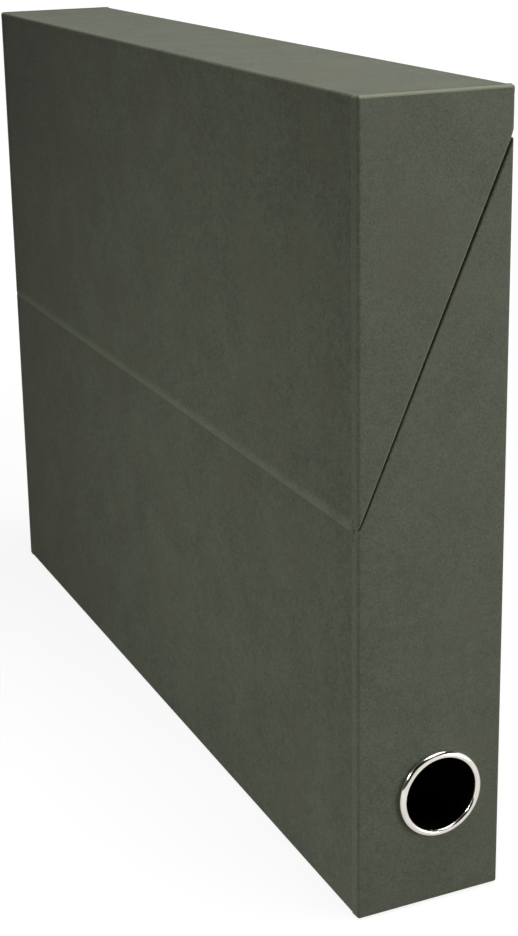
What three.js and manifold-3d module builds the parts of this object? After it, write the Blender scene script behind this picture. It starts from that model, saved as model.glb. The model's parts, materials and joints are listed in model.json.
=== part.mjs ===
// Archive transport box: a covered board box that stands on its long narrow side.
// Its lid is hinged along a crease at half height of the big left panel.
// Millimetres, +Z up, +Y from the spine with the finger ring to the rear, +X to the right.
// The origin is the centre of the underside.
import * as THREE from 'three';
import { mergeVertices } from 'three/addons/utils/BufferGeometryUtils.js';
import { RoundedBoxGeometry } from 'three/addons/geometries/RoundedBoxGeometry.js';
import Module from 'manifold-3d';

// Outer size of the closed box, over the covering
const BOX_WIDTH = 50;
const BOX_DEPTH = 340;
const BOX_HEIGHT = 255;

// Layers of a wall, from outside to inside
const COVERING_THICKNESS = 0.4;
const BOARD_THICKNESS = 2;
const LINING_THICKNESS = 0.3;
const CORNER_RADIUS = 1.8;

// Division between lid and base
const CREASE_HEIGHT = 128.5;
const LIP_HEIGHT = 13;
const SLIT_AT_CREASE = 0.3;
const SLIT_AT_LIP = 0.75;
const HINGE_EDGE_GAP = 0.3;
const SWING_CLEARANCE = 0.3;

// The hinge crease stands up from the left panel as a low round ridge
const RIDGE_HEIGHT = 0.5;
const RIDGE_WIDTH = 6;

// Where paper is turned over an edge, and the gap left between two pasted edges
const TURN_IN = 8;
const UNDERSIDE_TURN_IN = 15;
const PASTED_EDGE_GAP = 0.3;

// Sheet pasted over the turned-under covering
const UNDERSIDE_SHEET_THICKNESS = 0.4;
const UNDERSIDE_SHEET_INSET = 3;

// Finger ring in the spine: a pressed metal eyelet rolled over a washer inside
const RING_OUTER_DIAMETER = 29;
const RING_HOLE_DIAMETER = 24;
const RING_METAL = 0.5;
const RING_DOME_HEIGHT = 1.9;
const RING_OFF_CENTRE = 3.3;
const RING_FROM_BOTTOM = 37.7;
const RING_HOLE_CLEARANCE = 0.3;
const WASHER_THICKNESS = 0.6;
const WASHER_WIDTH = 2.2;
const ROLLED_RIM_WIDTH = 1.4;
const ROLL_BEND_RADIUS = 0.2;

// Fineness of round shapes, and the distance within which two vertices are one
const CORNER_SEGMENTS = 3;
const RIDGE_SEGMENTS = 8;
const RING_SEGMENTS = 48;
const ARC_STEPS = 5;
const MERGE_DISTANCE = 1e-5;

// Colours
const OLIVE_COVERING = 0x585c4e;
const GREYBOARD = 0x8d877a;
const BLACK_LINING = 0x161616;
const NICKEL = 0xd8d6d0;

const wasm = await Module();
wasm.setup();

// Conversions between three.js geometry and closed solids
function solidOf(geometry) {
  const bare = geometry.index ? geometry.toNonIndexed() : geometry;
  bare.deleteAttribute('normal');
  bare.deleteAttribute('uv');
  const merged = mergeVertices(bare, MERGE_DISTANCE);
  return new wasm.Manifold(new wasm.Mesh({
    numProp: 3,
    vertProperties: new Float32Array(merged.attributes.position.array),
    triVerts: new Uint32Array(merged.index.array),
  }));
}

function geometryOf(solid) {
  const mesh = solid.getMesh();
  const geometry = new THREE.BufferGeometry();
  geometry.setAttribute('position', new THREE.BufferAttribute(new Float32Array(mesh.vertProperties), 3));
  geometry.setIndex(new THREE.BufferAttribute(new Uint32Array(mesh.triVerts), 1));
  geometry.computeVertexNormals();
  return geometry;
}

// Planes of the wall's layers, each set in from the outside by its depth
const halfWidth = BOX_WIDTH / 2;
const halfDepth = BOX_DEPTH / 2;
const wallThickness = COVERING_THICKNESS + BOARD_THICKNESS + LINING_THICKNESS;
const FAR = BOX_WIDTH + BOX_DEPTH + BOX_HEIGHT;

function layerPlanes(inset) {
  return {
    left: -halfWidth + inset,
    right: halfWidth - inset,
    front: -halfDepth + inset,
    rear: halfDepth - inset,
    bottom: UNDERSIDE_SHEET_THICKNESS + inset,
    top: BOX_HEIGHT - inset,
  };
}

const outside = layerPlanes(0);
const boardOutside = layerPlanes(COVERING_THICKNESS);
const boardInside = layerPlanes(COVERING_THICKNESS + BOARD_THICKNESS);
const cavity = layerPlanes(wallThickness);

function block(x0, x1, y0, y1, z0, z1) {
  const geometry = new THREE.BoxGeometry(1, 1, 1);
  const position = geometry.attributes.position;
  for (let i = 0; i < position.count; i += 1) {
    position.setXYZ(
      i,
      position.getX(i) < 0 ? x0 : x1,
      position.getY(i) < 0 ? y0 : y1,
      position.getZ(i) < 0 ? z0 : z1,
    );
  }
  return solidOf(geometry);
}

function blockOf(planes) {
  return block(planes.left, planes.right, planes.front, planes.rear, planes.bottom, planes.top);
}

function roundedBlockOf(planes, radius) {
  const geometry = new RoundedBoxGeometry(
    planes.right - planes.left,
    planes.rear - planes.front,
    planes.top - planes.bottom,
    CORNER_SEGMENTS,
    radius,
  );
  geometry.translate(0, 0, (planes.top + planes.bottom) / 2);
  return solidOf(geometry);
}

// A solid of one outline in X and Z, from y0 to y1
function prismAlongY(outline, y0, y1) {
  const shape = new THREE.Shape(outline.map(([x, z]) => new THREE.Vector2(x, z)));
  const geometry = new THREE.ExtrudeGeometry(shape, { depth: y1 - y0, bevelEnabled: false });
  geometry.rotateX(Math.PI / 2);
  geometry.translate(0, y1, 0);
  return solidOf(geometry);
}

// The slanted cut across both end walls, from the crease up to the lip
const lipEdge = BOX_HEIGHT - LIP_HEIGHT;
const lidSlope = (lipEdge - CREASE_HEIGHT) / BOX_WIDTH;
const baseStart = CREASE_HEIGHT - uprightOf(SLIT_AT_CREASE, lidSlope);
const baseEnd = lipEdge - uprightOf(SLIT_AT_LIP, lidSlope);
const baseSlope = (baseEnd - baseStart) / BOX_WIDTH;

// Upright distance across a slanted gap
function uprightOf(gap, slope) {
  return gap * Math.hypot(1, slope);
}

function slantedHeight(x, start, slope, offset) {
  return start + slope * (x + halfWidth) + uprightOf(offset, slope);
}

const slantEnds = [-BOX_WIDTH, BOX_WIDTH];

function belowSlant(setback) {
  const edge = slantEnds.map((x) => [x, slantedHeight(x, baseStart, baseSlope, -setback)]);
  return prismAlongY([[-BOX_WIDTH, -FAR], [BOX_WIDTH, -FAR], edge[1], edge[0]], -BOX_DEPTH, BOX_DEPTH);
}

function aboveSlant(setback) {
  const edge = slantEnds.map((x) => [x, slantedHeight(x, CREASE_HEIGHT, lidSlope, setback)]);
  return prismAlongY([edge[0], edge[1], [BOX_WIDTH, FAR], [-BOX_WIDTH, FAR]], -BOX_DEPTH, BOX_DEPTH);
}

function belowLevel(level) {
  return block(-BOX_WIDTH, BOX_WIDTH, -BOX_DEPTH, BOX_DEPTH, -FAR, level);
}

function aboveLevel(level) {
  return block(-BOX_WIDTH, BOX_WIDTH, -BOX_DEPTH, BOX_DEPTH, level, FAR);
}

// The side walls end level: the left ones at the crease, the right ones at the lip.
// Where one half's side wall stands beside the other half's end wall, it stays clear by the swing clearance.
const sideEnd = boardInside.rear;
const clearSideEnd = sideEnd - SWING_CLEARANCE;

function leftSide(end, z0, z1) {
  return block(-BOX_WIDTH, cavity.left, -end, end, z0, z1);
}

function rightSide(end, z0, z1) {
  return block(cavity.right, BOX_WIDTH, -end, end, z0, z1);
}

// All that belongs to the base, set back from its cut edges and from the hinge line
function baseHalf(edgeSetback, hingeSetback) {
  const hingeEdge = CREASE_HEIGHT - hingeSetback;
  return belowSlant(edgeSetback)
    .subtract(leftSide(sideEnd, hingeEdge, FAR))
    .add(leftSide(sideEnd, -FAR, hingeEdge))
    .add(rightSide(clearSideEnd, -FAR, baseEnd - edgeSetback));
}

function lidHalf(edgeSetback, hingeSetback) {
  const lipSetback = lipEdge + edgeSetback;
  return aboveSlant(edgeSetback)
    .subtract(rightSide(sideEnd, -FAR, lipSetback))
    .add(rightSide(sideEnd, lipSetback, FAR))
    .add(leftSide(clearSideEnd, CREASE_HEIGHT + hingeSetback, FAR));
}

// Whole forms of the closed box, before they are divided
const outerForm = roundedBlockOf(outside, CORNER_RADIUS);
const boardForm = roundedBlockOf(boardOutside, CORNER_RADIUS - COVERING_THICKNESS);
const cavityForm = blockOf(cavity);

// A panel of the innermost layer, which fills the room between the boards and the cavity
function insidePanel(ranges) {
  return blockOf({ ...boardInside, ...ranges });
}

// Hole for the finger ring, through every layer of the spine
const barrelInside = RING_HOLE_DIAMETER / 2;
const barrelOutside = barrelInside + RING_METAL;
const holeRadius = barrelOutside + RING_HOLE_CLEARANCE;
const ringHole = atRing(new THREE.CylinderGeometry(holeRadius, holeRadius, BOX_DEPTH, RING_SEGMENTS));

// A round shape about Y, moved to the ring's place on the spine
function atRing(geometry) {
  geometry.translate(RING_OFF_CENTRE, outside.front, RING_FROM_BOTTOM);
  return solidOf(geometry);
}

// Boards, which butt against each other at the corners. The end boards are as wide as the box.
// The side boards stand between them, and stay clear of the other half's end boards.
const hingeBoardSetback = HINGE_EDGE_GAP / 2 + LINING_THICKNESS;
const baseHingeEdge = CREASE_HEIGHT - hingeBoardSetback;
const lidHingeEdge = CREASE_HEIGHT + hingeBoardSetback;
const boardSetback = COVERING_THICKNESS + PASTED_EDGE_GAP;
const inFront = block(-BOX_WIDTH, BOX_WIDTH, -BOX_DEPTH, boardInside.front, -FAR, FAR);
const inRear = block(-BOX_WIDTH, BOX_WIDTH, boardInside.rear, BOX_DEPTH, -FAR, FAR);

function leftBoard(end, z0, z1) {
  return boardForm.intersect(block(-BOX_WIDTH, boardInside.left, -end, end, z0, z1));
}

function rightBoard(end, z0, z1) {
  return boardForm.intersect(block(boardInside.right, BOX_WIDTH, -end, end, z0, z1));
}

function endBoard(end, half) {
  return boardForm.intersect(end).intersect(half(boardSetback));
}

function bottomBoard() {
  return block(
    boardInside.left, boardInside.right, boardInside.front, boardInside.rear,
    boardOutside.bottom, boardInside.bottom,
  );
}

function lidTopBoard() {
  return boardForm.intersect(
    block(-BOX_WIDTH, BOX_WIDTH, boardInside.front, boardInside.rear, boardInside.top, FAR),
  );
}

// Half of the round ridge over the hinge crease, which ends short of the corners
function creaseRidge(side) {
  const half = RIDGE_WIDTH / 2;
  const radius = (half * half + RIDGE_HEIGHT * RIDGE_HEIGHT) / (2 * RIDGE_HEIGHT);
  const spread = Math.asin(half / radius);
  const outline = [];
  for (let i = 0; i <= RIDGE_SEGMENTS; i += 1) {
    const angle = (spread * i) / RIDGE_SEGMENTS;
    outline.push([
      outside.left - RIDGE_HEIGHT + radius * (1 - Math.cos(angle)),
      CREASE_HEIGHT + side * radius * Math.sin(angle),
    ]);
  }
  const inner = outside.left + COVERING_THICKNESS / 2;
  outline.push([inner, CREASE_HEIGHT + side * half]);
  outline.push([inner, CREASE_HEIGHT]);
  return prismAlongY(outline, -clearSideEnd, clearSideEnd);
}

// Covering paper: the outer faces, turned over the board's cut edges and a little way down inside.
// It has no cut edge at the hinge, so the room for the boards runs on past that line.
const pastHinge = -1;

function coveringOf(half, slantRoom, levelRoom) {
  const between = { left: cavity.left, right: cavity.right, bottom: cavity.bottom, top: cavity.top };
  const turnedInAtEnds = insidePanel({ ...between, rear: cavity.front })
    .add(insidePanel({ ...between, front: cavity.rear }))
    .subtract(slantRoom);
  const turnedInAtLip = insidePanel({ left: cavity.right, bottom: cavity.bottom, top: cavity.top })
    .subtract(levelRoom);
  const hollow = boardForm
    .intersect(half(COVERING_THICKNESS, pastHinge))
    .subtract(turnedInAtEnds)
    .subtract(turnedInAtLip)
    .add(cavityForm);
  return outerForm.intersect(half(0, 0)).subtract(hollow);
}

// The base's part of the sheet is also turned under the bottom
function baseCovering() {
  const underside = block(
    outside.left + UNDERSIDE_TURN_IN,
    outside.right - UNDERSIDE_TURN_IN,
    outside.front + UNDERSIDE_TURN_IN,
    outside.rear - UNDERSIDE_TURN_IN,
    -FAR,
    boardInside.bottom,
  );
  return coveringOf(baseHalf, belowSlant(TURN_IN), belowLevel(baseEnd - TURN_IN))
    .subtract(underside)
    .subtract(ringHole)
    .add(creaseRidge(-1));
}

// The lid's part is the same sheet on the far side of the crease
function lidCovering() {
  return coveringOf(lidHalf, aboveSlant(TURN_IN), aboveLevel(lipEdge + TURN_IN)).add(creaseRidge(1));
}

// Sheet pasted on the underside, filling the window that the turned-under covering leaves
function undersideSheet() {
  const sheet = block(
    outside.left + UNDERSIDE_SHEET_INSET,
    outside.right - UNDERSIDE_SHEET_INSET,
    outside.front + UNDERSIDE_SHEET_INSET,
    outside.rear - UNDERSIDE_SHEET_INSET,
    0,
    outside.bottom,
  );
  const pastedEdge = UNDERSIDE_TURN_IN + PASTED_EDGE_GAP;
  const middle = block(
    outside.left + pastedEdge,
    outside.right - pastedEdge,
    outside.front + pastedEdge,
    outside.rear - pastedEdge,
    0,
    boardOutside.bottom,
  );
  return sheet.add(middle);
}

// Black lining: a panel on each inside face, and a narrow turn over the board's edge at the crease
const liningSetback = TURN_IN + PASTED_EDGE_GAP;

function endLinings(side) {
  return insidePanel({ rear: cavity.front }).add(insidePanel({ front: cavity.rear })).intersect(side);
}

function hingeEdgeLining(z0, z1) {
  return block(boardOutside.left, cavity.left, -clearSideEnd, clearSideEnd, z0, z1);
}

function baseLining() {
  const hingeEdge = CREASE_HEIGHT - HINGE_EDGE_GAP / 2;
  const lipSide = insidePanel({ left: cavity.right }).intersect(belowLevel(baseEnd - liningSetback));
  return insidePanel({ top: cavity.bottom })
    .add(insidePanel({ right: cavity.left, top: hingeEdge }))
    .add(lipSide)
    .add(endLinings(belowSlant(liningSetback)))
    .add(hingeEdgeLining(hingeEdge - LINING_THICKNESS, hingeEdge))
    .subtract(ringHole);
}

function lidLining() {
  const hingeEdge = CREASE_HEIGHT + HINGE_EDGE_GAP / 2;
  const lipSide = insidePanel({ left: cavity.right }).intersect(aboveLevel(lipEdge + liningSetback));
  const hingeSide = {
    right: cavity.left, front: -clearSideEnd, rear: clearSideEnd, bottom: hingeEdge,
  };
  return insidePanel({ bottom: cavity.top })
    .add(insidePanel(hingeSide))
    .add(lipSide)
    .add(endLinings(aboveSlant(liningSetback)))
    .add(hingeEdgeLining(hingeEdge, hingeEdge + LINING_THICKNESS));
}

// Points on an arc of a section, with angles in degrees
function arcPoints(centreR, centreY, radius, fromAngle, toAngle, steps) {
  const points = [];
  for (let i = 0; i <= steps; i += 1) {
    const angle = THREE.MathUtils.degToRad(fromAngle + ((toAngle - fromAngle) * i) / steps);
    points.push([centreR + radius * Math.cos(angle), centreY + radius * Math.sin(angle)]);
  }
  return points;
}

// The finger ring's section is one strip of metal: a domed flange outside, a barrel through the wall
// and a rim rolled outwards over the washer. R is the distance from its axis, Y runs into the box.
const washerInside = wallThickness + WASHER_THICKNESS;

function fingerRing() {
  const flangeOutside = RING_OUTER_DIAMETER / 2;
  const domeRadius = (flangeOutside - barrelInside) / 2;
  const domeCentre = barrelInside + domeRadius;
  const domeRise = RING_DOME_HEIGHT - domeRadius;
  const rollRadius = RING_METAL + ROLL_BEND_RADIUS;
  const rollCentre = washerInside - ROLL_BEND_RADIUS;
  const outer = [
    [flangeOutside, 0],
    ...arcPoints(domeCentre, -domeRise, domeRadius, 0, -180, 2 * ARC_STEPS),
    ...arcPoints(barrelInside + rollRadius, rollCentre, rollRadius, 180, 90, ARC_STEPS),
    [barrelOutside + ROLLED_RIM_WIDTH, washerInside + RING_METAL],
  ];
  const inner = [
    [barrelOutside + ROLLED_RIM_WIDTH, washerInside],
    [barrelOutside, washerInside],
    ...arcPoints(domeCentre, -domeRise, domeRadius - RING_METAL, -180, 0, 2 * ARC_STEPS),
    [flangeOutside - RING_METAL, 0],
  ];
  return turnedAtRing([...outer, ...inner, outer[0]].reverse());
}

// A section of distance from the axis and depth, turned about the ring's axis
function turnedAtRing(section) {
  return atRing(new THREE.LatheGeometry(section.map(([r, y]) => new THREE.Vector2(r, y)), RING_SEGMENTS));
}

function ringWasher() {
  const rim = holeRadius + WASHER_WIDTH;
  return turnedAtRing([
    [holeRadius, wallThickness],
    [rim, wallThickness],
    [rim, washerInside],
    [holeRadius, washerInside],
    [holeRadius, wallThickness],
  ]);
}

// Finishes
const covering = new THREE.MeshStandardMaterial({ color: OLIVE_COVERING, roughness: 0.72, metalness: 0 });
const greyboard = new THREE.MeshStandardMaterial({ color: GREYBOARD, roughness: 0.9, metalness: 0 });
const lining = new THREE.MeshStandardMaterial({ color: BLACK_LINING, roughness: 0.85, metalness: 0 });
const nickel = new THREE.MeshStandardMaterial({ color: NICKEL, roughness: 0.18, metalness: 1 });

function piece(name, solid, material) {
  const mesh = new THREE.Mesh(geometryOf(solid), material);
  mesh.name = name;
  return mesh;
}

const base = new THREE.Group();
base.add(
  piece('bottom_board', bottomBoard(), greyboard),
  piece('left_board', leftBoard(sideEnd, -FAR, baseHingeEdge), greyboard),
  piece('right_board', rightBoard(clearSideEnd, -FAR, baseEnd - boardSetback), greyboard),
  piece('front_board', endBoard(inFront, belowSlant).subtract(ringHole), greyboard),
  piece('rear_board', endBoard(inRear, belowSlant), greyboard),
  piece('base_covering', baseCovering(), covering),
  piece('underside_sheet', undersideSheet(), covering),
  piece('base_lining', baseLining(), lining),
  piece('finger_ring', fingerRing(), nickel),
  piece('ring_washer', ringWasher(), nickel),
);

const lid = new THREE.Group();
lid.add(
  piece('lid_top_board', lidTopBoard(), greyboard),
  piece('lid_left_board', leftBoard(clearSideEnd, lidHingeEdge, boardInside.top), greyboard),
  piece('lid_lip_board', rightBoard(sideEnd, lipEdge + boardSetback, boardInside.top), greyboard),
  piece('lid_front_board', endBoard(inFront, aboveSlant), greyboard),
  piece('lid_rear_board', endBoard(inRear, aboveSlant), greyboard),
  piece('lid_covering', lidCovering(), covering),
  piece('lid_lining', lidLining(), lining),
);

const transportBox = new THREE.Group();
transportBox.add(base, lid);

export default transportBox;
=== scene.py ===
"""Slim archive transport box: covered board with a hinged lid and a metal finger ring.

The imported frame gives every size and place. This file covers it in paper, lines it,
sets the ring in the spine and lights it on a plain white floor.
"""
import json
import math

import bmesh
import bpy
from bpy.props import FloatProperty, FloatVectorProperty, IntProperty, PointerProperty
from mathutils import Euler, Matrix, Vector


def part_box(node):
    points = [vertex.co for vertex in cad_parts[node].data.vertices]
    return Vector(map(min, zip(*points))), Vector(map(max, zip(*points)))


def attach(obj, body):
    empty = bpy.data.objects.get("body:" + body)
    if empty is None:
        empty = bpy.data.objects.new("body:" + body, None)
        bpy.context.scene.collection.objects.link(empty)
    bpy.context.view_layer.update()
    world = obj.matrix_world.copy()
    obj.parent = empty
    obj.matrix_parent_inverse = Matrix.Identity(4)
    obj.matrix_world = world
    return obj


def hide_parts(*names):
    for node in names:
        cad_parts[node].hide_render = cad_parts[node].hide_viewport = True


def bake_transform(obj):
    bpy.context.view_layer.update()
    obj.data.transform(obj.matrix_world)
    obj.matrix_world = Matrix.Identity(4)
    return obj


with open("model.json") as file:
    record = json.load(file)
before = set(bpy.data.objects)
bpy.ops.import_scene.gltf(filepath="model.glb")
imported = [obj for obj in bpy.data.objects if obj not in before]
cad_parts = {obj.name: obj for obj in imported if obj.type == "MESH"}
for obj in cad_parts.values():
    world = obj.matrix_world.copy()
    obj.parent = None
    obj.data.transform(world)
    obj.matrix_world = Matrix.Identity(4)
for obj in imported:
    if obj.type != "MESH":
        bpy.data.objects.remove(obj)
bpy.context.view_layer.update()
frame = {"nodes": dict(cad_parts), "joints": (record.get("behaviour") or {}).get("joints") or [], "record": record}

bl_info = {
    "name": "Archive Transport Box",
    "version": (1, 0, 0),
    "blender": (4, 5, 0),
    "location": "View3D > Sidebar > Box",
    "description": "Covers, lines and lights a slim archive transport box",
    "category": "Object",
}

MM = 0.001

# Places that the frame gives
COVERED_LOW, COVERED_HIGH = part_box("base_covering")
LID_LOW, LID_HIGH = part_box("lid_covering")
BOARD_LOW, BOARD_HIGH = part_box("front_board")
RING_LOW, RING_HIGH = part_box("finger_ring")
WASHER_LOW, WASHER_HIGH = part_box("ring_washer")
HINGE = Vector(next(joint["pos_m"] for joint in frame["joints"] if joint["name"] == "lid_hinge"))

WASHER_WIDTH = 2.2 * MM
WASHER_BORE = (WASHER_HIGH.x - WASHER_LOW.x) / 2 - WASHER_WIDTH
LINING = 0.3 * MM
# Painted highlight on the lid's slanted cut edge.
LID_EDGE_HIGHLIGHT = 0.8


def size(name, default, description):
    """A length that a user may change, in metres."""
    return FloatProperty(
        name=name, description=description, default=default, min=0.0, unit="LENGTH", precision=5,
    )


def share(name, default, description, high=1.0):
    """A plain number from 0 up that a user may change."""
    return FloatProperty(name=name, description=description, default=default, min=0.0, max=high)


def turn(name, degrees, description):
    """An angle that a user may change, given in degrees."""
    return FloatProperty(
        name=name, description=description, default=math.radians(degrees), subtype="ANGLE",
    )


def colour(name, default, description):
    """A colour that a user may change, in linear red, green and blue."""
    return FloatVectorProperty(
        name=name, description=description, default=default, size=3, min=0.0, max=1.0,
        subtype="COLOR",
    )


class CoveringSizes(bpy.types.PropertyGroup):
    """Sizes of the paper and of the edges that it is drawn over."""

    paper: size("Paper", 0.4 * MM, "Thickness of the covering paper")
    corner_radius: size("Corner Radius", 0.8 * MM, "Radius of the box's covered corners")
    edge_radius: size("Edge Radius", 0.45 * MM, "Radius of the paper at the base's cut edge")
    wall: size("Wall", 2.7 * MM, "Covering, board and turned paper together")
    turn_in: size("Turn In", 8.0 * MM, "Paper turned in over the cut edges")
    underside_turn_in: size("Underside Turn In", 15.0 * MM, "Paper turned under the bottom")
    lip: size("Lip", 13.0 * MM, "Height of the lid's lip on the right side")
    lip_slit: size("Slit At Lip", 0.75 * MM, "Gap between lid and base at the lip")
    crease_slit: size("Slit At Crease", 0.3 * MM, "Gap between lid and base at the crease")
    lid_edge_radius: size("Lid Edge Radius", 0.7 * MM, "Radius of the paper at the lid's slanted edge")
    bead: size("Bead", 0.32 * MM, "How far the end boards' edges stand proud under the paper")
    side_bead_width: size("Side Bead Width", 4.0 * MM, "Width of the bead on the side panels")
    top_bead_width: size("Top Bead Width", 2.6 * MM, "Width of the bead on the top")
    high_bead: size("High Bead", 0.06 * MM, "How far the top board's edge stands proud at the sides")
    crease_height: size("Crease Height", 0.95 * MM, "How far the hinge crease stands up")
    crease_above: size("Crease Above", 3.2 * MM, "Width of the crease's slope above the hinge")
    crease_below: size("Crease Below", 1.3 * MM, "Width of the crease's slope below the hinge")
    crease_run_out: size("Crease Run Out", 2.2 * MM, "Length over which the crease ends")
    # Painted highlights: how much lighter the paper is painted along its folded edges and the crease, where light
    # would catch them.
    rubbed_edge: share("Rubbed Edge", 0.55, "How much lighter the paper is at its folded edges", 2.0)
    rubbed_crease: share("Rubbed Crease", 0.35, "How rubbed the crease is, as a share of an edge")


class RingSizes(bpy.types.PropertyGroup):
    """Sizes of the metal finger ring's section."""

    metal: size("Metal", 0.5 * MM, "Thickness of the pressed metal")
    flange: size("Flange", 2.5 * MM, "Width of the domed flange")
    dome: size("Dome", 1.9 * MM, "Height of the domed flange")
    crest: FloatProperty(
        name="Crest", description="Where the dome is highest, as a share of the flange from the hole",
        default=0.38, min=0.25, max=0.75,
    )
    bend: size("Bend", 0.2 * MM, "Inner radius where the barrel is rolled over the washer")
    rim: size("Rim", 1.4 * MM, "Width of the rolled rim inside the box")
    steps: IntProperty(
        name="Steps", description="Straight pieces around the ring", default=160, min=24, max=512,
    )


class Colours(bpy.types.PropertyGroup):
    """Colours of the finishes."""

    olive: colour("Olive", (0.095, 0.106, 0.071), "The covering paper")
    black: colour("Black", (0.009, 0.009, 0.009), "The lining paper")
    board: colour("Board", (0.27, 0.25, 0.21), "The grey board")
    nickel: colour("Nickel", (0.78, 0.745, 0.68), "The plated ring")


class StudioSettings(bpy.types.PropertyGroup):
    """Where the camera and the lamps are, and how strong the light is."""

    camera_place: FloatVectorProperty(
        name="Camera Place", description="Where the camera stands", size=3,
        default=(-0.2455, -0.5939, 0.3154), subtype="TRANSLATION", unit="LENGTH",
    )
    camera_turn: turn("Camera Turn", 24.12, "Angle of the view to the right of the depth axis")
    camera_tilt: turn("Camera Tilt", 16.15, "Angle of the view below level")
    camera_roll: turn("Camera Roll", -0.95, "Turn of the camera about its view")
    lens: FloatProperty(
        name="Lens", description="Focal length for a 36 mm long side, in millimetres",
        default=67.6, min=1.0,
    )
    lens_rise: FloatProperty(
        name="Lens Rise", description="Shift of the lens, as a share of the picture's long side",
        default=-0.1,
    )
    room_light: share("Room Light", 0.12, "Even light from all around", 10.0)
    floor_bounce: share("Floor Bounce", 0.16, "How much light the floor throws back")
    floor_glow: share("Floor Glow", 0.86, "How white the floor looks without lamps")
    floor_shine: share("Floor Shine", 0.95, "How white shiny things see the floor in front")


GROUPS = {
    "box_covering": CoveringSizes,
    "box_ring": RingSizes,
    "box_colours": Colours,
    "box_studio": StudioSettings,
}


class Level:
    """A number that varies over a surface. Sums and products of levels add their Math nodes."""

    def __init__(self, nodes, socket):
        self.nodes = nodes
        self.socket = socket

    def __add__(self, other):
        return self.nodes.math("ADD", self, other)

    def __radd__(self, other):
        return self.nodes.math("ADD", other, self)

    def __sub__(self, other):
        return self.nodes.math("SUBTRACT", self, other)

    def __rsub__(self, other):
        return self.nodes.math("SUBTRACT", other, self)

    def __mul__(self, other):
        return self.nodes.math("MULTIPLY", self, other)

    def __rmul__(self, other):
        return self.nodes.math("MULTIPLY", other, self)

    def between(self, low, high):
        """0 where the level is at low, 1 where it is at high, smooth between and flat outside."""
        return self.nodes.fading(self, (low, high), (0.0, 1.0))


class Nodes:
    """Adds and links the nodes of one tree."""

    def __init__(self, tree):
        self.tree = tree

    def put(self, socket, value):
        """Links a level or a socket to an input, or sets a plain value there."""
        if isinstance(value, Level):
            value = value.socket
        if isinstance(value, bpy.types.NodeSocket):
            self.tree.links.new(value, socket)
        else:
            socket.default_value = value

    def node(self, kind, settings=None, inputs=None):
        """Adds a node: its settings first, then the values or links of its sockets."""
        made = self.tree.nodes.new(kind)
        for name, value in (settings or {}).items():
            setattr(made, name, value)
        for name, value in (inputs or {}).items():
            self.put(made.inputs[name], value)
        return made

    def level(self, kind, settings=None, inputs=None, output=0):
        return Level(self, self.node(kind, settings, inputs).outputs[output])

    def math(self, operation, *values):
        return self.level("ShaderNodeMath", {"operation": operation}, dict(enumerate(values)))

    def fading(self, value, reach, levels):
        """Goes smoothly from the first level to the second while the value crosses its reach."""
        inputs = dict(zip(("From Min", "From Max", "To Min", "To Max"), (*reach, *levels)))
        inputs["Value"] = value
        return self.level("ShaderNodeMapRange", {"interpolation_type": "SMOOTHSTEP"}, inputs)

    def either(self, factor, first, second):
        """Goes from the first number to the second as the factor goes from 0 to 1."""
        return self.level("ShaderNodeMix", None, {0: factor, 2: first, 3: second})


class Finish(Nodes):
    """A material that is built from nodes."""

    def __init__(self, name):
        self.material = bpy.data.materials.new(name)
        self.material.use_nodes = True
        super().__init__(self.material.node_tree)
        self.shader = self.tree.nodes["Principled BSDF"]

    def place(self, stretch=(1.0, 1.0, 1.0)):
        """The object's own coordinates, stretched."""
        own = self.node("ShaderNodeTexCoord").outputs["Object"]
        return self.node("ShaderNodeMapping", inputs={"Vector": own, "Scale": stretch}).outputs[0]

    def noise(self, place, grain, detail=2.0, roughness=0.5):
        """Soft noise from 0 to 1 whose patches are about as wide as grain, in metres."""
        inputs = {"Vector": place, "Scale": 1.0 / grain, "Detail": detail, "Roughness": roughness}
        return self.level("ShaderNodeTexNoise", None, inputs)

    def cells(self, place, grain, smoothness=0.4):
        """Smooth distance to the nearest of many scattered points, about grain apart."""
        settings = {"feature": "SMOOTH_F1"}
        inputs = {"Vector": place, "Scale": 1.0 / grain, "Smoothness": smoothness}
        return self.level("ShaderNodeTexVoronoi", settings, inputs)

    def mix(self, factor, first, second):
        """Goes from the first colour to the second as the factor goes from 0 to 1."""
        inputs = {0: factor, 6: first, 7: second}
        return self.node("ShaderNodeMix", {"data_type": "RGBA"}, inputs).outputs[2]

    def bump(self, height, depth, strength=1.0):
        """Surface relief whose height of 1 stands for depth, in metres."""
        inputs = {"Height": height, "Distance": depth, "Strength": strength}
        return self.node("ShaderNodeBump", None, inputs).outputs[0]

    def dress(self, **sockets):
        """Sets the shader's sockets, whose names are given with underscores."""
        for name, value in sockets.items():
            self.put(self.shader.inputs[name.replace("_", " ")], value)
        return self.material


def shade(colour_value, factor):
    """A colour made lighter or darker, as a shader takes it."""
    return (*(min(1.0, part * factor) for part in colour_value), 1.0)


def tint(colour_value, parts):
    """A colour with each part scaled by itself."""
    return (*(part * scale for part, scale in zip(colour_value, parts)), 1.0)


def made_once(build):
    """Keeps the material that a function builds, so that each finish is made once."""
    name = build.__name__

    def get():
        return bpy.data.materials.get(name) or build(name)

    return get


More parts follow.
